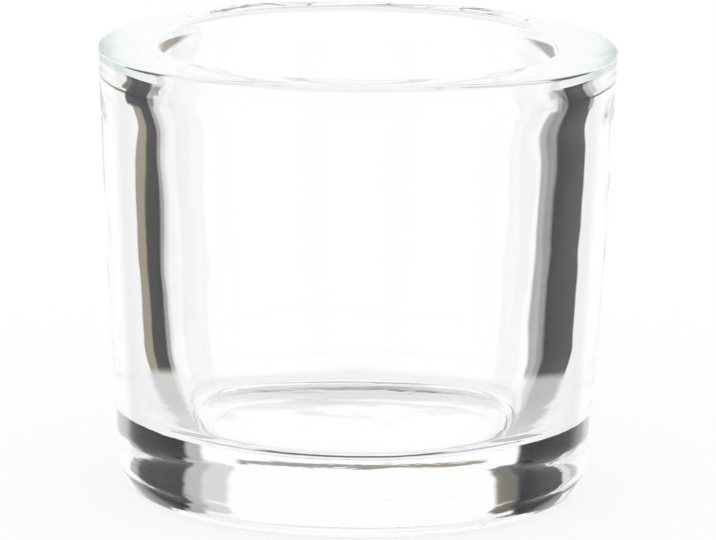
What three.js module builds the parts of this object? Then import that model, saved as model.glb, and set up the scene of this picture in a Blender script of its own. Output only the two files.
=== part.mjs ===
// Heavy clear glass candle holder, pressed and fire polished in one piece.
// Millimetres and degrees, +Z up. The origin is in the middle of the underside, on the surface it stands on.
import * as THREE from "three";

// Outside of the wall
const HEIGHT = 79;
const RIM_RADIUS = 45;
const FOOT_RADIUS = 41; // where the upper wall's taper would meet the ground
const WALL_BARREL = 0.3; // how far the wall stands out of a straight taper at its middle
const JOINT_LEVEL = 16.2; // joint of the mould, below which the wall has a taper of its own
const BASE_TAPER = 4.2;

// Foot: a rounded edge of two arcs, then a narrow ring to stand on
const FOOT_LOWER_ROUND = 4;
const FOOT_UPPER_ROUND = 9;
const FOOT_SLOPE = 55; // where the lower arc passes into the upper one
const STANDING_RING_WIDTH = 1;

// Recess of the underside
const RECESS_DEPTH = 3;
const RECESS_SQUARENESS = 15; // 2 is an ellipse, and more makes its corner tighter

// Lip: both of its edges are rounded, with a narrow flat between them
const LIP_OUTER_WIDTH = 3;
const LIP_OUTER_HEIGHT = 1.2;
const LIP_INNER_WIDTH = 2.6;
const LIP_INNER_HEIGHT = 1;

// Cavity: a tapered wall, a corner of three arcs and a flat floor
const FLOOR_THICKNESS = 12.7;
const CAVITY_RADIUS = 32.7; // at the cavity level
const CAVITY_LEVEL = 20;
const CAVITY_TAPER = 3.4;
const CORNER_LOWER_ROUND = 8;
const CORNER_MIDDLE_ROUND = 3.5;
const CORNER_UPPER_ROUND = 60;
const CORNER_LOWER_SLOPE = 8;
const CORNER_MIDDLE_SLOPE = 74;

// Under the lip the cavity's wall first hollows out a little and then swells to a bead
const HOLLOW_DEPTH = 0.2;
const HOLLOW_LEVEL = 70;
const HOLLOW_SPREAD = 3.6;
const BEAD_SWELL = 2.8;
const BEAD_FOOT = 71;
const BEAD_TOP = 84; // above the lip, which cuts the swelling off

// Fineness of the faceted solid
const FACETS_ROUND = 72;
const ARC_STEPS = 4;
const RECESS_STEPS = 12;
const OUTER_WALL_STEPS = 12;
const CAVITY_WALL_STEPS = 24;

const RIGHT_ANGLE = 90;

const glass = new THREE.MeshStandardMaterial({
  color: 0xf2f7f4,
  roughness: 0.03,
  metalness: 0,
  transparent: true,
  opacity: 0.35,
});

// Evenly spaced numbers from one to another, both included.
function spread(from, to, steps) {
  return Array.from({ length: steps + 1 }, (_, step) => from + ((to - from) * step) / steps);
}

// Radius of the outer wall at a height.
function outerRadius(z) {
  const level = Math.max(z, JOINT_LEVEL);
  const rise = level / HEIGHT;
  const taper = FOOT_RADIUS + (RIM_RADIUS - FOOT_RADIUS) * rise;
  const barrel = WALL_BARREL * 4 * rise * (1 - rise);
  const belowJoint = (level - z) * Math.tan(THREE.MathUtils.degToRad(BASE_TAPER));
  return taper + barrel - belowJoint;
}

// Radius of the cavity's wall at a height.
function cavityRadius(z) {
  const taper = (z - CAVITY_LEVEL) * Math.tan(THREE.MathUtils.degToRad(CAVITY_TAPER));
  const hollow = HOLLOW_DEPTH * Math.exp(-(((z - HOLLOW_LEVEL) / HOLLOW_SPREAD) ** 2));
  const bead = BEAD_SWELL * THREE.MathUtils.smoothstep(z, BEAD_FOOT, BEAD_TOP);
  return CAVITY_RADIUS + taper + hollow - bead;
}

// Part of a circle from one slope to another, going outwards and up from a point that isn't drawn again.
function arcFrom(start, radius, fromSlope, toSlope) {
  const first = THREE.MathUtils.degToRad(fromSlope);
  const slopes = spread(first, THREE.MathUtils.degToRad(toSlope), ARC_STEPS).slice(1);
  return slopes.map((slope) => {
    const across = radius * (Math.sin(slope) - Math.sin(first));
    const up = radius * (Math.cos(first) - Math.cos(slope));
    return new THREE.Vector2(start.x + across, start.y + up);
  });
}

// A corner of arcs that follow each other from level to steep, each given by its radius and last slope.
function drawCorner(arcs) {
  const corner = [new THREE.Vector2()];
  let slope = 0;
  for (const arc of arcs) {
    corner.push(...arcFrom(corner.at(-1), arc.radius, slope, arc.lastSlope));
    slope = arc.lastSlope;
  }
  return corner;
}

// A quarter of an ellipse round a centre, from one quarter turn to the next.
function quarterEllipse(centreX, centreY, width, height, quarter) {
  return spread(quarter * RIGHT_ANGLE, (quarter + 1) * RIGHT_ANGLE, ARC_STEPS).map((turn) => {
    const angle = THREE.MathUtils.degToRad(turn);
    return new THREE.Vector2(centreX + width * Math.cos(angle), centreY + height * Math.sin(angle));
  });
}

// Underside from the axis outwards: the recess, the standing ring and the rounded foot.
function drawUnderside() {
  const foot = drawCorner([
    { radius: FOOT_LOWER_ROUND, lastSlope: FOOT_SLOPE },
    { radius: FOOT_UPPER_ROUND, lastSlope: RIGHT_ANGLE - BASE_TAPER },
  ]);
  const footTop = foot.at(-1);
  const ringOuter = outerRadius(footTop.y) - footTop.x;
  const ringInner = ringOuter - STANDING_RING_WIDTH;
  const recess = spread(0, RIGHT_ANGLE, RECESS_STEPS).map((turn) => {
    const angle = THREE.MathUtils.degToRad(turn);
    const across = Math.sin(angle) ** (2 / RECESS_SQUARENESS);
    const up = turn < RIGHT_ANGLE ? Math.cos(angle) ** (2 / RECESS_SQUARENESS) : 0;
    return new THREE.Vector2(ringInner * across, RECESS_DEPTH * up);
  });
  const edge = foot.map((point) => new THREE.Vector2(ringOuter + point.x, point.y));
  return [...recess, ...edge];
}

// Outer wall between the foot and the lip, from below.
function drawOuterWall(fromLevel) {
  return spread(fromLevel, HEIGHT - LIP_OUTER_HEIGHT, OUTER_WALL_STEPS)
    .slice(1, -1)
    .map((z) => new THREE.Vector2(outerRadius(z), z));
}

// Lip from the outer wall over to the cavity.
function drawLip() {
  const outerLevel = HEIGHT - LIP_OUTER_HEIGHT;
  const innerLevel = HEIGHT - LIP_INNER_HEIGHT;
  const outerMiddle = outerRadius(outerLevel) - LIP_OUTER_WIDTH;
  const innerMiddle = cavityRadius(innerLevel) + LIP_INNER_WIDTH;
  return [
    ...quarterEllipse(outerMiddle, outerLevel, LIP_OUTER_WIDTH, LIP_OUTER_HEIGHT, 0),
    ...quarterEllipse(innerMiddle, innerLevel, LIP_INNER_WIDTH, LIP_INNER_HEIGHT, 1),
  ];
}

// Cavity below the lip: down its wall, round its corner and over the floor to the axis.
function drawCavity() {
  const corner = drawCorner([
    { radius: CORNER_LOWER_ROUND, lastSlope: CORNER_LOWER_SLOPE },
    { radius: CORNER_MIDDLE_ROUND, lastSlope: CORNER_MIDDLE_SLOPE },
    { radius: CORNER_UPPER_ROUND, lastSlope: RIGHT_ANGLE - CAVITY_TAPER },
  ]);
  const cornerTop = corner.at(-1);
  const topLevel = FLOOR_THICKNESS + cornerTop.y;
  const floorEdge = cavityRadius(topLevel) - cornerTop.x;
  const wall = spread(HEIGHT - LIP_INNER_HEIGHT, topLevel, CAVITY_WALL_STEPS)
    .slice(1, -1)
    .map((z) => new THREE.Vector2(cavityRadius(z), z));
  const round = corner
    .map((point) => new THREE.Vector2(floorEdge + point.x, FLOOR_THICKNESS + point.y))
    .reverse();
  return [...wall, ...round, new THREE.Vector2(0, FLOOR_THICKNESS)];
}

// The closed section of the glass on one side of the axis.
function glassOutline() {
  const underside = drawUnderside();
  return [...underside, ...drawOuterWall(underside.at(-1).y), ...drawLip(), ...drawCavity()];
}

// The glass body, turned from its section round the upright axis.
function glassBody() {
  const geometry = new THREE.LatheGeometry(glassOutline(), FACETS_ROUND);
  const body = new THREE.Mesh(geometry, glass);
  body.name = "glass_body";
  body.rotation.x = Math.PI / 2;
  return body;
}

const candleHolder = new THREE.Group();
candleHolder.add(glassBody());

export default candleHolder;
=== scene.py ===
"""A heavy clear glass candle holder, pressed in one piece, standing on a pale studio floor."""

import logging
import math
from dataclasses import dataclass, fields, replace
from enum import Enum
from typing import Any

import bpy
from mathutils import Matrix, Vector


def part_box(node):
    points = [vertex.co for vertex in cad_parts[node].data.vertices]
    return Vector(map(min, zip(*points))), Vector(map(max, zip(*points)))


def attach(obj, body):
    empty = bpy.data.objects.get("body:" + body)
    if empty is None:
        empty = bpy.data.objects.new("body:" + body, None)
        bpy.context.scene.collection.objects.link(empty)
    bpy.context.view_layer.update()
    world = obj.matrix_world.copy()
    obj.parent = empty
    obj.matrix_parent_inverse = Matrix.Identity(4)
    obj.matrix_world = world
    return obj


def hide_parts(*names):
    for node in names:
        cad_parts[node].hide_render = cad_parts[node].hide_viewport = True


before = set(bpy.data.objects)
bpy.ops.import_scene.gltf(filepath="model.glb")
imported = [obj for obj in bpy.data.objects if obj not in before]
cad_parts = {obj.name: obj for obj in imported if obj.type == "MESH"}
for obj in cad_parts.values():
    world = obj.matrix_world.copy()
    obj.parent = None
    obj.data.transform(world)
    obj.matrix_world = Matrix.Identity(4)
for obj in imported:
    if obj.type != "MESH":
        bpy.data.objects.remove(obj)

LOG = logging.getLogger("candle_holder")
MM = 0.001
WHITE = (1.0, 1.0, 1.0, 1.0)
DEGREES_IN_RADIAN = math.degrees(1)
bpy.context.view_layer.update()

# Light in the thick rim turns many times before it leaves the glass.
LIGHT_BOUNCES = 192

# Where something soft starts and ends.
Pair = tuple[float, float]


class Part(Enum):
    """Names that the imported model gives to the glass."""

    NODE = "glass_body"
    BODY = "root"
    SLOT = "clear_glass"


class Value:
    """A number on a node socket, on which arithmetic adds Math nodes."""

    def __init__(self, maker: "NodeMaker", socket: bpy.types.NodeSocket) -> None:
        """Keep the socket and the tree that it belongs to.

        Args:
            maker: Adds nodes to the socket's tree.
            socket: The output that carries the number.
        """
        self.maker = maker
        self.socket = socket

    def math(self, operation: str, *others: "Value | float") -> "Value":
        """Add one Math node with this value first.

        Args:
            operation: The Math node's operation.
            others: Its further operands.

        Returns:
            The node's result.
        """
        return self.maker.math(operation, self, *others)

    def __add__(self, other: "Value | float") -> "Value":
        """Return this value plus another."""
        return self.math("ADD", other)

    def __radd__(self, other: float) -> "Value":
        """Return a number plus this value."""
        return self.maker.math("ADD", other, self)

    def __sub__(self, other: "Value | float") -> "Value":
        """Return this value less another."""
        return self.math("SUBTRACT", other)

    def __rsub__(self, other: float) -> "Value":
        """Return a number less this value."""
        return self.maker.math("SUBTRACT", other, self)

    def __mul__(self, other: "Value | float") -> "Value":
        """Return this value times another."""
        return self.math("MULTIPLY", other)

    def __rmul__(self, other: float) -> "Value":
        """Return a number times this value."""
        return self.maker.math("MULTIPLY", other, self)

    def __truediv__(self, other: "Value | float") -> "Value":
        """Return this value divided by another."""
        return self.math("DIVIDE", other)

    def __rtruediv__(self, other: float) -> "Value":
        """Return a number divided by this value."""
        return self.maker.math("DIVIDE", other, self)

    def step(self, start: float, end: float) -> "Value":
        """Rise smoothly from 0 to 1.

        Args:
            start: The value at which the result leaves 0.
            end: The value at which it reaches 1.

        Returns:
            The smooth step.
        """
        node = self.maker.add(
            "ShaderNodeMapRange",
            {"interpolation_type": "SMOOTHSTEP"},
            {"Value": self, "From Min": start, "From Max": end},
        )
        return Value(self.maker, node.outputs["Result"])

    def between(self, rise: Pair, fall: Pair) -> "Value":
        """Rise smoothly from 0 to 1 and fall back again.

        Args:
            rise: The values at which the rise starts and ends.
            fall: The values at which the fall starts and ends.

        Returns:
            The window.
        """
        return self.step(*rise) * (1 - self.step(*fall))

    def blend(self, one: "Value | float", zero: "Value | float") -> "Value":
        """Go from one number to another with this value.

        Args:
            one: The result where this value is 1.
            zero: The result where it is 0.

        Returns:
            The blend.
        """
        return self * one + (1 - self) * zero


class NodeMaker:
    """Adds nodes and links to one node tree."""

    def __init__(self, tree: bpy.types.NodeTree) -> None:
        """Start on a tree.

        Args:
            tree: The tree to add to.
        """
        self.tree = tree

    def add(
        self,
        kind: str,
        settings: dict[str, Any] | None = None,
        inputs: dict[str | int, Any] | None = None,
    ) -> bpy.types.Node:
        """Add a node, set it and feed its sockets.

        Args:
            kind: The node's type name.
            settings: Properties of the node, set before its sockets.
            inputs: Values, sockets or Value objects by socket name or number.

        Returns:
            The new node.
        """
        node = self.tree.nodes.new(kind)
        for name, value in (settings or {}).items():
            setattr(node, name, value)
        for name, value in (inputs or {}).items():
            self.feed(node.inputs[name], value)
        return node

    def feed(self, socket: bpy.types.NodeSocket, value: Any) -> None:
        """Link or set one input.

        Args:
            socket: The input.
            value: A Value, an output socket or a plain value.
        """
        if isinstance(value, Value):
            value = value.socket
        if isinstance(value, bpy.types.NodeSocket):
            self.tree.links.new(value, socket)
        else:
            socket.default_value = value

    def math(self, operation: str, *operands: "Value | float") -> Value:
        """Add a Math node.

        Args:
            operation: The node's operation.
            operands: Its operands, in order.

        Returns:
            The result.
        """
        node = self.add("ShaderNodeMath", {"operation": operation}, dict(enumerate(operands)))
        return Value(self, node.outputs[0])

    def split(self, vector: bpy.types.NodeSocket) -> tuple[Value, Value, Value]:
        """Take a vector apart.

        Args:
            vector: The output that carries the vector.

        Returns:
            Its three parts.
        """
        node = self.add("ShaderNodeSeparateXYZ", None, {0: vector})
        return tuple(Value(self, node.outputs[index]) for index in range(3))

    def vector(self, x: Any, y: Any, z: Any) -> bpy.types.NodeSocket:
        """Put a vector together.

        Args:
            x: The first part.
            y: The second part.
            z: The third part.

        Returns:
            The output that carries the vector.
        """
        return self.add("ShaderNodeCombineXYZ", None, {0: x, 1: y, 2: z}).outputs[0]


def empty_tree(owner: bpy.types.Material | bpy.types.World) -> NodeMaker:
    """Empty the node tree of a material or a world.

    Args:
        owner: The material or world.

    Returns:
        What adds nodes to the tree.
    """
    owner.use_nodes = True
    owner.node_tree.nodes.clear()
    return NodeMaker(owner.node_tree)


def add_object(name: str, data: bpy.types.ID) -> bpy.types.Object:
    """Put an object into the scene.

    Args:
        name: The object's name.
        data: Its mesh or camera.

    Returns:
        The new object.
    """
    thing = bpy.data.objects.new(name, data)
    bpy.context.scene.collection.objects.link(thing)
    return thing


def ease(value: float) -> float:
    """Give the smooth step of a value, held between 0 and 1."""
    held = min(max(value, 0.0), 1.0)
    return held * held * (3 - 2 * held)


def label(name: str) -> str:
    """Give the label of a node tree's input for the name of a size field."""
    return name.replace("_", " ").title()


def refine(points: list[Vector], step: float) -> list[Vector]:
    """Divide the stretches of a line that are too long.

    Args:
        points: The line.
        step: The longest distance between points.

    Returns:
        The line with more points on it.
    """
    fine = [points[0]]
    for start, end in zip(points, points[1:]):
        count = max(1, math.ceil((end - start).length / step))
        fine += [start.lerp(end, index / count) for index in range(1, count + 1)]
    return fine


def quarter_ellipse(centre: Pair, width: float, height: float, quarter: int, step: float) -> list[Vector]:
    """Trace a quarter of an ellipse.

    Args:
        centre: Its centre, as radius and level.
        width: Its half width.
        height: Its half height.
        quarter: Which quarter, counted from the outer one at the top.
        step: The longest distance between points.

    Returns:
        The points, both ends included.
    """
    count = math.ceil(math.pi / 2 * max(width, height) / step)
    angles = [(quarter + index / count) * math.pi / 2 for index in range(count + 1)]
    radius, level = centre
    return [Vector((radius + width * math.cos(a), 0, level + height * math.sin(a))) for a in angles]


@dataclass(frozen=True)
class Corner:
    """A rounded corner of arcs from level to steep, with radii in metres and slopes in degrees."""

    radii: tuple[float, ...]
    breaks: tuple[float, ...]

    def trace(self, slope: float, step: float) -> list[Vector]:
        """Trace the corner outwards and up from its level end.

        Args:
            slope: The slope at its steep end.
            step: The longest distance between points.

        Returns:
            The points, from zero on.
        """
        points = [Vector((0.0, 0.0, 0.0))]
        start = 0.0
        for radius, limit in zip(self.radii, (*self.breaks, slope)):
            end = math.radians(limit)
            count = max(2, math.ceil(radius * (end - start) / step))
            base = points[-1]
            for index in range(1, count + 1):
                angle = start + (end - start) * index / count
                across = radius * (math.sin(angle) - math.sin(start))
                rise = radius * (math.cos(start) - math.cos(angle))
                points.append(base + Vector((across, 0.0, rise)))
            start = end
        return points


@dataclass(frozen=True)
class GlassSection:
    """The section of the glass on one side of its axis, in metres and degrees.

    The outside follows the photograph's outline. The cavity, the lip and the recess are estimates, from how
    the glass bends what is seen through it.
    """

    height: float
    widest_radius: float
    foot_radius: float = 41.0 * MM
    wall_barrel: float = 0.3 * MM
    joint_level: float = 16.2 * MM
    joint_depth: float = 0.02 * MM
    joint_spread: float = 0.4 * MM
    base_taper: float = 4.2
    foot: Corner = Corner((4.0 * MM, 9.0 * MM), (55.0,))
    ring_width: float = 1.0 * MM
    recess_depth: float = 3.0 * MM
    recess_squareness: float = 15.0
    recess_steps: int = 30
    lip_outer_width: float = 3.0 * MM
    lip_outer_height: float = 1.2 * MM
    lip_inner_width: float = 2.6 * MM
    lip_inner_height: float = 1.0 * MM
    hollow_depth: float = 0.2 * MM
    hollow_level: float = 70.0 * MM
    hollow_spread: float = 3.6 * MM
    bead_swell: float = 2.8 * MM
    bead_foot: float = 71.0 * MM
    bead_top: float = 84.0 * MM
    floor_thickness: float = 12.7 * MM
    cavity_radius: float = 32.7 * MM
    cavity_level: float = 20.0 * MM
    cavity_taper: float = 3.4
    corner: Corner = Corner((8.0 * MM, 3.5 * MM, 60.0 * MM), (8.0, 74.0))
    fine_step: float = 0.25 * MM
    coarse_step: float = 1.0 * MM

    def barrel(self, rise: float) -> float:
        """Give how far the wall stands out of a straight taper at a share of the height."""
        return self.wall_barrel * 4 * rise * (1 - rise)

    def tapered_radius(self, z: float) -> float:
        """Give the radius of the wall above the mould's joint, with its barrel and the joint's groove.

        Args:
            z: Height above the ground.

        Returns:
            The radius there.
        """
        rise = z / self.height
        widest_rise = 1 - self.lip_outer_height / self.height
        widening = self.widest_radius - self.barrel(widest_rise) - self.foot_radius
        taper = self.foot_radius + widening * rise / widest_rise
        groove = self.joint_depth * math.exp(-(((z - self.joint_level) / self.joint_spread) ** 2))
        return taper + self.barrel(rise) - groove

    def outer_radius(self, z: float) -> float:
        """Give the radius of the outer wall, which has its own taper below the mould's joint.

        Args:
            z: Height above the ground.

        Returns:
            The radius there.
        """
        below = max(self.joint_level - z, 0.0)
        narrowing = below * math.tan(math.radians(self.base_taper))
        return self.tapered_radius(max(z, self.joint_level)) - narrowing

    def inner_radius(self, z: float) -> float:
        """Give the radius of the cavity's wall, which hollows out and then swells under the lip.

        Args:
            z: Height above the ground.

        Returns:
            The radius there.
        """
        taper = (z - self.cavity_level) * math.tan(math.radians(self.cavity_taper))
        hollow = self.hollow_depth * math.exp(-(((z - self.hollow_level) / self.hollow_spread) ** 2))
        bead = self.bead_swell * ease((z - self.bead_foot) / (self.bead_top - self.bead_foot))
        return self.cavity_radius + taper + hollow - bead

    def recess(self, edge: float) -> list[Vector]:
        """Trace the recess of the underside, a flat ellipse with square corners, from the axis out.

        Args:
            edge: The radius of its edge.

        Returns:
            The points, both ends included.
        """
        power = 2 / self.recess_squareness
        points = []
        for index in range(self.recess_steps + 1):
            angle = math.pi / 2 * index / self.recess_steps
            across = edge * math.sin(angle) ** power
            up = self.recess_depth * max(math.cos(angle), 0.0) ** power
            points.append(Vector((across, 0, up)))
        return refine(points, self.coarse_step)

    def underside(self) -> list[Vector]:
        """Trace the recess, the standing ring and the rounded foot, from the axis out.

        Returns:
            The points, both ends included.
        """
        foot = self.foot.trace(90 - self.base_taper, self.fine_step)
        outer = Vector((self.outer_radius(foot[-1].z) - foot[-1].x, 0, 0))
        inner = outer - Vector((self.ring_width, 0, 0))
        ring = refine([inner, outer], self.fine_step)
        return self.recess(inner.x) + ring[1:] + [outer + point for point in foot[1:]]

    def outer_wall(self, start: float) -> list[Vector]:
        """Trace the outer wall between the foot and the lip, from below.

        Args:
            start: The level of the foot's upper end.

        Returns:
            The points between both ends.
        """
        end = self.height - self.lip_outer_height
        count = math.ceil((end - start) / self.coarse_step)
        levels = [start + (end - start) * index / count for index in range(1, count)]
        return [Vector((self.outer_radius(z), 0, z)) for z in levels]

    def lip(self) -> list[Vector]:
        """Trace the lip from the outer wall over to the cavity.

        Returns:
            The points, both ends included.
        """
        outer_level = self.height - self.lip_outer_height
        inner_level = self.height - self.lip_inner_height
        outer_middle = (self.outer_radius(outer_level) - self.lip_outer_width, outer_level)
        inner_middle = (self.inner_radius(inner_level) + self.lip_inner_width, inner_level)
        step = self.fine_step
        outer_round = quarter_ellipse(outer_middle, self.lip_outer_width, self.lip_outer_height, 0, step)
        inner_round = quarter_ellipse(inner_middle, self.lip_inner_width, self.lip_inner_height, 1, step)
        return outer_round + inner_round

    def cavity(self) -> list[Vector]:
        """Trace the cavity below the lip: its wall, its corner and the floor, in to the axis.

        Returns:
            The points, without the lip's last one.
        """
        corner = self.corner.trace(90 - self.cavity_taper, self.fine_step)
        corner_top = self.floor_thickness + corner[-1].z
        start = self.height - self.lip_inner_height
        count = math.ceil((start - corner_top) / self.coarse_step)
        levels = [start + (corner_top - start) * index / count for index in range(1, count)]
        wall = [Vector((self.inner_radius(z), 0, z)) for z in levels]
        floor_edge = Vector((self.inner_radius(corner_top) - corner[-1].x, 0, self.floor_thickness))
        floor = refine([floor_edge, Vector((0, 0, self.floor_thickness))], self.coarse_step)
        return wall + [floor_edge + point for point in reversed(corner)] + floor[1:]

    def points(self) -> list[Vector]:
        """Trace the whole section, from the axis on the underside to the axis on the floor."""
        underside = self.underside()
        return underside + self.outer_wall(underside[-1].z) + self.lip() + self.cavity()


@dataclass(frozen=True)
class Waves:
    """How the pressed surface departs from a true turned one, in metres.

    Slow waves run over the whole glass between the foot and the lip. Fine ripples run round the corner of
    the cavity. Each field is an input of the tree that turns the glass.
    """

    steps_round: int = 264
    slow_height: float = 0.05 * MM
    slow_length: float = 13.0 * MM
    foot_fade: float = 4.0 * MM
    lip_fade: float = 72.0 * MM
    lip_still: float = 76.0 * MM
    ripple_height: float = 0.012 * MM
    ripple_length: float = 1.4 * MM
    ripple_radius: float = 35.5 * MM
    ripple_top: float = 12.0 * MM
    seed: float = 3.0


class TurnedGlassTree:
    """The Geometry Nodes tree that turns a section round the upright axis and waves its surface."""

    FLOOR_LEVEL = label("floor_level")
    MATERIAL = label("material")
    SOCKETS = {int: "NodeSocketInt", float: "NodeSocketFloat"}
    MERGE_DISTANCE = 0.002 * MM
    NOISE_MIDDLE = 0.5
    NOISE_GAIN = 2.5
    RIPPLES_BELOW_FLOOR = 0.5 * MM
    RIPPLE_TOP_FADE = (0.6, 1.0)
    RIPPLE_RADIUS_FADE = (0.98, 1.0)

    def __init__(self) -> None:
        """Build the tree with its named inputs."""
        self.tree = bpy.data.node_groups.new("turned_glass", "GeometryNodeTree")
        interface = self.tree.interface
        interface.new_socket("Geometry", in_out="OUTPUT", socket_type="NodeSocketGeometry")
        interface.new_socket("Geometry", in_out="INPUT", socket_type="NodeSocketGeometry")
        for size in fields(Waves):
            interface.new_socket(label(size.name), in_out="INPUT", socket_type=self.SOCKETS[size.type])
        interface.new_socket(self.FLOOR_LEVEL, in_out="INPUT", socket_type=self.SOCKETS[float])
        interface.new_socket(self.MATERIAL, in_out="INPUT", socket_type="NodeSocketMaterial")
        self.maker = NodeMaker(self.tree)
        self.given = self.maker.add("NodeGroupInput").outputs
        self.finish(self.wave(self.turn()))

    def size(self, name: str) -> Value:
        """Give one of the tree's numbers.

        Args:
            name: The name of its size field.

        Returns:
            The number.
        """
        return Value(self.maker, self.given[label(name)])

    def change(self, kind: str, body: bpy.types.NodeSocket, **inputs: Any) -> bpy.types.NodeSocket:
        """Pass the body through one more node.

        Args:
            kind: The node's type name.
            body: The body so far.
            inputs: The node's other inputs.

        Returns:
            The body after it.
        """
        return self.maker.add(kind, None, {"Geometry": body, **inputs}).outputs[0]

    def turn(self) -> bpy.types.NodeSocket:
        """Lay a grid over the section's points and the angles, and bend it into the closed body.

        Returns:
            The turned body.
        """
        maker = self.maker
        section = self.given["Geometry"]
        counts = maker.add("GeometryNodeAttributeDomainSize", None, {"Geometry": section})
        along = Value(maker, counts.outputs["Point Count"])
        around = self.size("steps_round") + 1
        grid = maker.add("GeometryNodeMeshGrid", None, {"Vertices X": along, "Vertices Y": around})
        index = Value(maker, maker.add("GeometryNodeInputIndex").outputs[0])
        row = (index / around).math("FLOOR")
        turn = (row * around - index) / self.size("steps_round") * math.tau
        place = maker.add("GeometryNodeInputPosition").outputs[0]
        sample = maker.add(
            "GeometryNodeSampleIndex",
            {"data_type": "FLOAT_VECTOR"},
            {"Geometry": section, "Value": place, "Index": row},
        )
        radius, _, level = maker.split(sample.outputs[0])
        bent = maker.vector(radius * turn.math("COSINE"), radius * turn.math("SINE"), level)
        body = self.change("GeometryNodeSetPosition", grid.outputs["Mesh"], Position=bent)
        return self.change("GeometryNodeMergeByDistance", body, Distance=self.MERGE_DISTANCE)

    def noise(self, x: Any, y: Any, z: Any) -> Value:
        """Give smooth noise about zero.

        Args:
            x: The first coordinate, in waves.
            y: The second coordinate.
            z: The third coordinate.

        Returns:
            The noise, mostly between -1 and 1.
        """
        node = self.maker.add(
            "ShaderNodeTexNoise",
            {"noise_dimensions": "4D"},
            {"Vector": self.maker.vector(x, y, z), "W": self.size("seed"), "Scale": 1.0, "Detail": 1.0},
        )
        return (Value(self.maker, node.outputs[0]) - self.NOISE_MIDDLE) * self.NOISE_GAIN

    def wave(self, body: bpy.types.NodeSocket) -> bpy.types.NodeSocket:
        """Move the surface along its normals by slow waves all over and fine rings round the floor.

        Args:
            body: The turned body.

        Returns:
            The waved body.
        """
        maker = self.maker
        x, y, z = maker.split(maker.add("GeometryNodeInputPosition").outputs[0])
        radius = (x * x + y * y).math("SQRT")
        slow = self.size("slow_length")
        from_foot = (z / self.size("foot_fade")).step(0.0, 1.0)
        lip_fade = self.size("lip_fade")
        to_lip = 1 - ((z - lip_fade) / (self.size("lip_still") - lip_fade)).step(0.0, 1.0)
        slow_height = self.size("slow_height") * from_foot * to_lip
        slow_waves = self.noise(x / slow, y / slow, z / slow) * slow_height
        off_axis = radius.math("MAXIMUM", MM)
        along = (radius + z) / self.size("ripple_length")
        above = z - self.size("floor_level")
        in_corner = above.step(-self.RIPPLES_BELOW_FLOOR, 0.0)
        in_corner = in_corner * (1 - (above / self.size("ripple_top")).step(*self.RIPPLE_TOP_FADE))
        inside = 1 - (radius / self.size("ripple_radius")).step(*self.RIPPLE_RADIUS_FADE)
        ripple_height = self.size("ripple_height") * in_corner * inside
        ripples = self.noise(x / off_axis, y / off_axis, along) * ripple_height
        normal = maker.add("GeometryNodeInputNormal").outputs[0]
        offset = maker.add(
            "ShaderNodeVectorMath", {"operation": "SCALE"}, {0: normal, "Scale": slow_waves + ripples}
        )
        return self.change("GeometryNodeSetPosition", body, Offset=offset.outputs[0])

    def finish(self, body: bpy.types.NodeSocket) -> None:
        """Smooth, realize and dress the body.

        Args:
            body: The waved body.
        """
        body = self.change("GeometryNodeSetShadeSmooth", body)
        body = self.change("GeometryNodeRealizeInstances", body)
        body = self.change("GeometryNodeSetMaterial", body, Material=self.given[self.MATERIAL])
        self.maker.add("NodeGroupOutput", None, {0: body})

    def apply(self, section: bpy.types.Object, values: dict[str, Any]) -> bpy.types.Mesh:
        """Run the tree on a section and keep its result as a plain mesh.

        Args:
            section: The object that holds the section's points.
            values: The tree's inputs by label.

        Returns:
            The finished mesh.
        """
        modifier = section.modifiers.new("turn", "NODES")
        modifier.node_group = self.tree
        for item in self.tree.interface.items_tree:
            if item.in_out == "INPUT" and item.name in values:
                modifier[item.identifier] = values[item.name]
        view = bpy.context.evaluated_depsgraph_get()
        mesh = bpy.data.meshes.new_from_object(section.evaluated_get(view), depsgraph=view)
        section.modifiers.remove(modifier)
        return mesh


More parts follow.
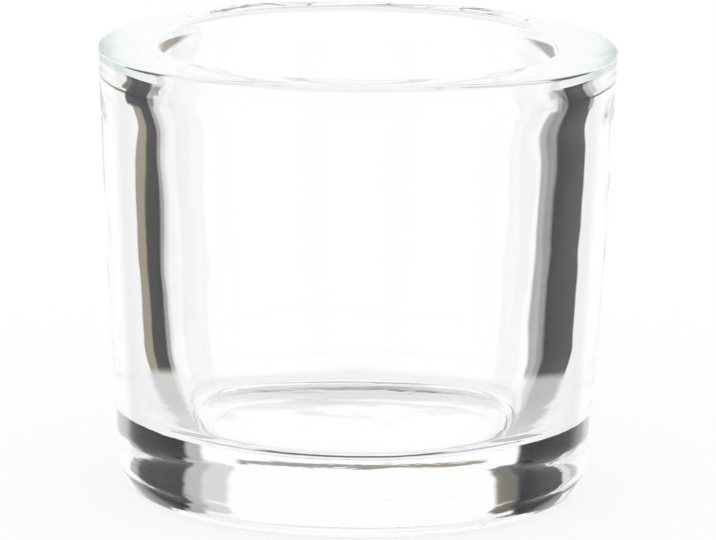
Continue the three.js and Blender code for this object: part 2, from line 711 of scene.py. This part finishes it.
@dataclass(frozen=True)
class ClearGlassFinish:
    """Clear pressed soda-lime glass, fire polished, with a green cast in its depth, in metres."""

    ior: float = 1.52
    depth_colour: tuple[float, float, float, float] = (0.66, 0.83, 0.74, 1.0)
    depth_density: float = 0.5
    bump_strength: float = 0.04
    bump_distance: float = 0.2 * MM
    wave_size: float = 9.0 * MM
    wave_detail: float = 2.0
    streak_height: float = 3.0
    streak_length: float = 12.0 * MM
    streak_width: float = 1.6 * MM
    streak_detail: float = 3.0
    streak_top: Pair = (13.0 * MM, 20.0 * MM)

    def streaks(self, maker: NodeMaker, place: bpy.types.NodeSocket) -> Value:
        """Give the level streaks that the mould leaves round the base.

        Args:
            maker: Adds nodes to the material's tree.
            place: The output that carries the place on the glass.

        Returns:
            Their height.
        """
        x, y, z = maker.split(place)
        drawn = maker.vector(x / self.streak_length, y / self.streak_length, z / self.streak_width)
        noise = maker.add(
            "ShaderNodeTexNoise", None, {"Vector": drawn, "Scale": 1.0, "Detail": self.streak_detail}
        )
        return Value(maker, noise.outputs[0]) * (1 - z.step(*self.streak_top)) * self.streak_height

    def build(self) -> bpy.types.Material:
        """Make the material.

        Returns:
            The finished glass.
        """
        material = bpy.data.materials.new(Part.SLOT.value)
        maker = empty_tree(material)
        place = maker.add("ShaderNodeTexCoord").outputs["Object"]
        waves = maker.add(
            "ShaderNodeTexNoise",
            None,
            {"Vector": place, "Scale": 1 / self.wave_size, "Detail": self.wave_detail},
        )
        height = Value(maker, waves.outputs[0]) + self.streaks(maker, place)
        bump = maker.add(
            "ShaderNodeBump",
            None,
            {"Height": height, "Strength": self.bump_strength, "Distance": self.bump_distance},
        )
        surface = maker.add(
            "ShaderNodeBsdfPrincipled",
            None,
            {
                "Base Color": WHITE,
                "Roughness": 0.0,
                "IOR": self.ior,
                "Transmission Weight": 1.0,
                "Normal": bump.outputs[0],
            },
        )
        depth = maker.add(
            "ShaderNodeVolumeAbsorption", None, {"Color": self.depth_colour, "Density": self.depth_density}
        )
        maker.add(
            "ShaderNodeOutputMaterial", None, {"Surface": surface.outputs[0], "Volume": depth.outputs[0]}
        )
        return material


@dataclass(frozen=True)
class GlassBody:
    """The one piece of the candle holder."""

    section: GlassSection
    waves: Waves = Waves()
    finish: ClearGlassFinish = ClearGlassFinish()
    name: str = "glass_body_fine"

    def tree_values(self) -> dict[str, Any]:
        """Give what the tree that turns the glass takes in.

        Returns:
            The tree's inputs by label.
        """
        values = {label(size.name): getattr(self.waves, size.name) for size in fields(self.waves)}
        values[TurnedGlassTree.FLOOR_LEVEL] = self.section.floor_thickness
        values[TurnedGlassTree.MATERIAL] = self.finish.build()
        return values

    def build(self) -> bpy.types.Object:
        """Turn the section, wave it and dress it.

        Returns:
            The glass body, standing at the origin.
        """
        outline = bpy.data.meshes.new("glass_section")
        outline.from_pydata([tuple(point) for point in self.section.points()], [], [])
        holder = add_object("glass_section", outline)
        mesh = TurnedGlassTree().apply(holder, self.tree_values())
        mesh.name = self.name
        bpy.data.objects.remove(holder)
        body = add_object(self.name, mesh)
        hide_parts(Part.NODE.value)
        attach(body, Part.BODY.value)
        return body


class Ray:
    """A ray that goes out into the studio, with its direction in degrees and its way through the glass.

    Attributes:
        azimuth: Its azimuth, from +Y towards -X.
        turned: The azimuth without its sign.
        elevation: Its elevation above level.
        through: 1 where it comes out of the glass.
        glossy: 1 where a surface has mirrored it last.
        walls: How many faces of the glass it has gone through.
        mirrors: How many times it has been mirrored.
        mirrored: 1 where it has been mirrored at all.
    """

    def __init__(self, maker: NodeMaker) -> None:
        """Read the ray on a world's tree.

        Args:
            maker: Adds nodes to the tree.
        """
        x, y, z = maker.split(maker.add("ShaderNodeTexCoord").outputs["Generated"])
        self.azimuth = maker.math("ARCTAN2", x * -1.0, y) * DEGREES_IN_RADIAN
        self.turned = self.azimuth.math("ABSOLUTE")
        self.elevation = z.math("ARCSINE") * DEGREES_IN_RADIAN
        path = maker.add("ShaderNodeLightPath").outputs
        self.through = Value(maker, path["Is Transmission Ray"])
        self.glossy = Value(maker, path["Is Glossy Ray"])
        self.walls = Value(maker, path["Transmission Depth"])
        self.mirrors = Value(maker, path["Glossy Depth"])
        self.mirrored = self.mirrors.math("GREATER_THAN", 0.5)


@dataclass(frozen=True)
class Edge:
    """A change of brightness along a band of the studio, by azimuth from +Y towards -X in degrees."""

    azimuth: float
    level: float
    softness: float = 1.0


@dataclass(frozen=True)
class Ring:
    """Brightness all round the studio, from behind the camera over the right, the far side and the left."""

    first: float
    edges: tuple[Edge, ...] = ()

    def level(self, azimuth: Value) -> Value | float:
        """Give the brightness in a direction.

        Args:
            azimuth: The direction's azimuth.

        Returns:
            The brightness there.
        """
        total: Value | float = self.first
        last = self.first
        for edge in self.edges:
            step = azimuth.step(edge.azimuth - edge.softness, edge.azimuth + edge.softness)
            total = step * (edge.level - last) + total
            last = edge.level
        return total


@dataclass(frozen=True)
class Band:
    """A stretch of the studio above an elevation, up to where the next band starts, in degrees.

    Rays that the glass has mirrored may see another ring of it. The direct ring of a band behind the base
    shows only through the solid glass there, and the band below it elsewhere.
    """

    lowest: float
    softness: float
    direct: Ring
    mirrored: Ring | None = None
    behind_base: bool = False

    def level(self, ray: Ray) -> Value | float:
        """Give the band's brightness.

        Args:
            ray: The ray that meets it.

        Returns:
            The brightness there.
        """
        direct = self.direct.level(ray.azimuth)
        if self.mirrored is None:
            return direct
        return ray.mirrored.blend(self.mirrored.level(ray.azimuth), direct)


# All numbers of the bands are fitted to the photograph, so that what the glass bends falls where the
# photograph has it. They aren't measured on a real studio.

# Stretches of wall that several bands share, in the order of a ring
RIGHT_GAPS = (Edge(-164, 1.0, 2), Edge(-106, 0.035, 2), Edge(-86, 1.0, 2))
RIGHT_SIDE = (Edge(-79, 0.3, 3), Edge(-63, 0.006, 3))
RIGHT_DARK = Edge(-66, 0.035, 2)
RIGHT_GREY = (Edge(-33, 0.43), Edge(-28.5, 1.0))
LEFT_DARK = (Edge(32.5, 0.006), Edge(67, 0.4, 3), Edge(76, 1.0, 3))
LEFT_WHITE = Edge(66, 1.0, 3)
LEFT_GAPS = (Edge(120, 0.035, 2), Edge(150, 1.0, 2), Edge(168, 0.035, 2))

# The ground below the holder, whose dark ring for mirrored rays is painted shade under the glass, and the
# table round it
GROUND_WITH_PAINTED_SHADE = Band(-91.0, 0.5, Ring(0.9), Ring(0.12))
TABLE = Band(
    -58.0,
    5.0,
    Ring(0.9, (Edge(-62, 0.5, 4), Edge(-29, 0.88, 5), Edge(35, 0.6, 6), Edge(62, 0.9, 4))),
)
FAR_TABLE = Band(
    -33.0,
    6.0,
    Ring(0.9, (Edge(-62, 0.5, 4), Edge(-29, 0.98, 4), Edge(35, 0.64, 5), Edge(62, 0.9, 4))),
)

# The walls from their foot up, with a rail across the far one
LOW_RIGHT = (
    Edge(-172, 1.0, 2), Edge(-98, 0.035, 2), Edge(-76, 1.0, 2), Edge(-62, 0.01, 1.5), Edge(-41, 0.2, 1.5),
    Edge(-24.5, 1.0, 1.2),
)
LOW_LEFT = (Edge(37, 0.33), Edge(46.5, 0.01, 1.2), Edge(61, 1.0, 1.5), Edge(164, 0.035, 2))
LOW = Band(
    -24.0,
    2.0,
    Ring(0.035, LOW_RIGHT + LOW_LEFT),
    Ring(1.0, (RIGHT_DARK, Edge(-30, 1.0, 1.2), Edge(37, 0.33), Edge(46.5, 0.03, 1.2), LEFT_WHITE)),
)
MIDDLE = Band(
    -11.0,
    2.0,
    Ring(0.035, RIGHT_GAPS + RIGHT_SIDE + RIGHT_GREY + LEFT_DARK + LEFT_GAPS),
    Ring(1.0, (RIGHT_DARK, *RIGHT_GREY, Edge(32.5, 0.035), LEFT_WHITE)),
)
RAIL_FRONT = (Edge(-20, 0.3), Edge(24, 1.0))
RAIL = Band(
    2.5,
    0.7,
    Ring(0.035, RIGHT_GAPS + RIGHT_SIDE + RIGHT_GREY + RAIL_FRONT + LEFT_DARK + LEFT_GAPS),
    Ring(0.035, RIGHT_GAPS + RIGHT_SIDE + (Edge(-33, 0.12),) + LEFT_DARK + LEFT_GAPS),
    behind_base=True,
)
ABOVE_RAIL = replace(MIDDLE, lowest=5.5, softness=0.7)
HIGH_RIGHT = (
    Edge(-66, 0.3, 2), Edge(-58, 0.01, 2), Edge(-46, 0.03, 1.5), Edge(-34.8, 0.46), Edge(-29.5, 0.66),
    Edge(-23, 1.0),
)
HIGH_LEFT = (
    Edge(27.5, 0.2), Edge(29.5, 0.12), Edge(34, 0.01), Edge(41, 0.03), Edge(54, 0.8), Edge(60, 0.45),
    Edge(67, 1.0, 2),
)
HIGH = Band(9.0, 1.5, Ring(0.035, RIGHT_GAPS + HIGH_RIGHT + HIGH_LEFT + LEFT_GAPS))
CEILING = Band(33.0, 2.0, Ring(1.0))


@dataclass(frozen=True)
class OutsideSheen:
    """What the outside of the glass mirrors: white, but dark at the sides below level, in degrees."""

    dark_level: float = 0.04
    side_start: Pair = (36.0, 52.0)
    side_end: Pair = (84.0, 96.0)
    dark_top: Pair = (-6.0, 2.0)

    def level(self, ray: Ray) -> Value:
        """Give the brightness.

        Args:
            ray: The ray that meets it.

        Returns:
            The brightness there.
        """
        dark = ray.turned.between(self.side_start, self.side_end)
        dark = dark * (1 - ray.elevation.step(*self.dark_top))
        return 1 - dark * (1 - self.dark_level)


@dataclass(frozen=True)
class FloorShade:
    """Darkness that gives the back half of the cavity's floor the photograph's grey, in degrees.

    Only rays find it that the glass has mirrored once and that have gone through enough of its faces.
    """

    second_mirror: Pair = (1.2, 1.8)
    enough_walls: Pair = (3.0, 3.5)
    side: Pair = (20.0, 26.0)
    bottom: Pair = (0.0, 3.0)
    top: Pair = (10.0, 12.5)

    def share(self, ray: Ray) -> Value:
        """Give where a ray finds the darkness.

        Args:
            ray: The ray.

        Returns:
            1 where it does and 0 elsewhere.
        """
        once = ray.mirrored * (1 - ray.mirrors.step(*self.second_mirror))
        ahead = 1 - ray.turned.step(*self.side)
        deep = ray.walls.step(*self.enough_walls)
        return once * deep * ahead * ray.elevation.between(self.bottom, self.top)


@dataclass(frozen=True)
class OftenMirrored:
    """What a ray finds in place of the bands when the glass has mirrored it often, in degrees.

    It is white, but dim overhead. The start is how many mirrorings it begins at and is complete at.
    """

    start: Pair = (1.5, 3.5)
    behind: Pair = (100.0, 112.0)
    behind_top: Pair = (-46.0, -38.0)
    overhead: Pair = (58.0, 64.0)
    overhead_level: float = 0.15

    def share(self, ray: Ray) -> Value:
        """Give how far this takes the place of what a ray finds otherwise."""
        return ray.mirrors.step(*self.start)

    def level(self, ray: Ray) -> Value:
        """Give the brightness, which is none steeply below on the camera's side.

        Args:
            ray: The ray that meets it.

        Returns:
            The brightness there.
        """
        below = ray.turned.step(*self.behind) * (1 - ray.elevation.step(*self.behind_top))
        dim = ray.elevation.step(*self.overhead) * (1 - self.overhead_level)
        return (1 - below) * (1 - dim)


@dataclass(frozen=True)
class Warmth:
    """The photograph's beige cast on the half dark levels of the left side, by brightness and degrees."""

    blue_loss: float = 0.36
    green_share: float = 0.35
    dark_end: Pair = (0.05, 0.16)
    light_end: Pair = (0.36, 0.5)
    left_start: Pair = (-6.0, 6.0)

    def colour(self, maker: NodeMaker, ray: Ray, seen: Value) -> bpy.types.NodeSocket:
        """Colour what a ray sees.

        Args:
            maker: Adds nodes to the world's tree.
            ray: The ray.
            seen: The brightness that it meets.

        Returns:
            The output that carries the colour.
        """
        cast = seen.between(self.dark_end, self.light_end) * ray.azimuth.step(*self.left_start)
        cast = cast * self.blue_loss
        return maker.vector(seen, seen * (1 - cast * self.green_share), seen * (1 - cast))


@dataclass(frozen=True)
class Studio:
    """White walls with dark gaps between them, a pale floor and the light that they give.

    The walls are a picture for rays out of the glass, made for the photograph's view, and not a real room:
    what a ray finds depends on its direction, and also on how often the glass has mirrored it and on how many
    faces it has passed. Rays out of the glass don't meet the floor. All other rays find plain white light.
    """

    bands: tuple[Band, ...] = (GROUND_WITH_PAINTED_SHADE, TABLE, FAR_TABLE, LOW, MIDDLE, RAIL, ABOVE_RAIL, HIGH, CEILING)
    base_walls: Pair = (2.5, 3.0)
    behind: Pair = (88.0, 92.0)
    behind_top: Pair = (30.0, 33.0)
    light_level: float = 1.0
    outside: OutsideSheen = OutsideSheen()
    floor_shade: FloorShade = FloorShade()
    often: OftenMirrored = OftenMirrored()
    warmth: Warmth = Warmth()
    floor_half: float = 6.0
    floor_glow: float = 0.8

    def bands_level(self, ray: Ray) -> Value:
        """Give the brightness of the bands, laid over each other from below.

        Args:
            ray: The ray that meets them.

        Returns:
            The brightness.
        """
        level: Value | float = 0.0
        for band in self.bands:
            above = ray.elevation.step(band.lowest - band.softness, band.lowest + band.softness)
            if band.behind_base:
                above = above * ray.mirrored.math("MAXIMUM", 1 - ray.walls.step(*self.base_walls))
            level = above.blend(band.level(ray), level)
        return level

    def level(self, ray: Ray) -> Value:
        """Give the brightness that a ray meets.

        Args:
            ray: The ray.

        Returns:
            The brightness.
        """
        plain = self.outside.level(ray)
        level = self.bands_level(ray)
        behind = ray.turned.step(*self.behind) * (1 - ray.elevation.step(*self.behind_top)) * ray.mirrored
        level = behind.blend(plain, level)
        level = level * (1 - self.floor_shade.share(ray))
        level = self.often.share(ray).blend(self.often.level(ray), level)
        out_of_glass = ray.through + (1 - ray.through) * ray.glossy
        return out_of_glass.blend(ray.through.blend(level, plain), self.light_level)

    def build_world(self) -> None:
        """Make the walls: plain white, but with their dark gaps where they show through glass."""
        world = bpy.data.worlds.new("studio")
        bpy.context.scene.world = world
        maker = empty_tree(world)
        ray = Ray(maker)
        colour = self.warmth.colour(maker, ray, self.level(ray))
        shader = maker.add("ShaderNodeBackground", None, {"Color": colour, "Strength": 1.0})
        maker.add("ShaderNodeOutputWorld", None, {"Surface": shader.outputs[0]})

    def floor_material(self) -> bpy.types.Material:
        """Make the floor's white, which the camera sees part lit by itself, so that shadows stay pale.

        Returns:
            The material.
        """
        material = bpy.data.materials.new("pale_floor")
        maker = empty_tree(material)
        lit = maker.add("ShaderNodeBsdfDiffuse", None, {"Color": WHITE})
        glow = maker.add("ShaderNodeEmission", None, {"Color": WHITE, "Strength": 1.0})
        share = Value(maker, maker.add("ShaderNodeLightPath").outputs["Is Camera Ray"]) * self.floor_glow
        both = maker.add("ShaderNodeMixShader", None, {0: share, 1: lit.outputs[0], 2: glow.outputs[0]})
        maker.add("ShaderNodeOutputMaterial", None, {"Surface": both.outputs[0]})
        return material

    def build_floor(self) -> None:
        """Lay the pale floor that the holder stands on."""
        half = self.floor_half
        mesh = bpy.data.meshes.new("floor")
        corners = [(-half, -half, 0), (half, -half, 0), (half, half, 0), (-half, half, 0)]
        mesh.from_pydata(corners, [], [(0, 1, 2, 3)])
        mesh.materials.append(self.floor_material())
        floor = add_object("floor", mesh)
        floor.visible_transmission = False
        floor.visible_glossy = False


@dataclass(frozen=True)
class PhotoCamera:
    """The photograph's camera, fitted to the outline, in metres and radians, its lens in millimetres."""

    distance: float = 1.1013
    height: float = 0.27547
    focal_length: float = 324.8
    sensor_width: float = 36.0
    pitch: float = 0.2119
    yaw: float = 0.0004
    roll: float = 0.0122
    nearest: float = 0.05
    farthest: float = 60.0

    def build(self) -> None:
        """Place the camera and make it the scene's."""
        data = bpy.data.cameras.new("photo_camera")
        data.sensor_width = self.sensor_width
        data.lens = self.focal_length
        data.clip_start, data.clip_end = self.nearest, self.farthest
        forward = Vector((math.sin(self.yaw), math.cos(self.yaw), -math.tan(self.pitch))).normalized()
        level_right = forward.cross(Vector((0, 0, 1))).normalized()
        level_up = level_right.cross(forward)
        right = level_right * math.cos(self.roll) + level_up * math.sin(self.roll)
        up = level_up * math.cos(self.roll) - level_right * math.sin(self.roll)
        turn = Matrix((right, up, -forward)).transposed().to_4x4()
        camera = add_object("photo_camera", data)
        camera.matrix_world = Matrix.Translation((0, -self.distance, self.height)) @ turn
        bpy.context.scene.camera = camera


def main() -> None:
    """Build the studio and the candle holder, and report each piece."""
    logging.basicConfig(level=logging.INFO, format="%(name)s: %(message)s")
    scene = bpy.context.scene
    scene.view_settings.view_transform = "Standard"
    scene.cycles.max_bounces = LIGHT_BOUNCES
    scene.cycles.transmission_bounces = LIGHT_BOUNCES
    scene.cycles.glossy_bounces = LIGHT_BOUNCES
    low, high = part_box(Part.NODE.value)
    section = GlassSection(height=high[2] - low[2], widest_radius=(high[0] - low[0]) / 2)
    PhotoCamera().build()
    studio = Studio()
    studio.build_world()
    studio.build_floor()
    body = GlassBody(section).build()
    LOG.info(
        "%s is %.1f mm high, from %d points of its section, with %d faces",
        body.name, section.height / MM, len(section.points()), len(body.data.polygons),
    )


if __name__ == "__main__":
    main()
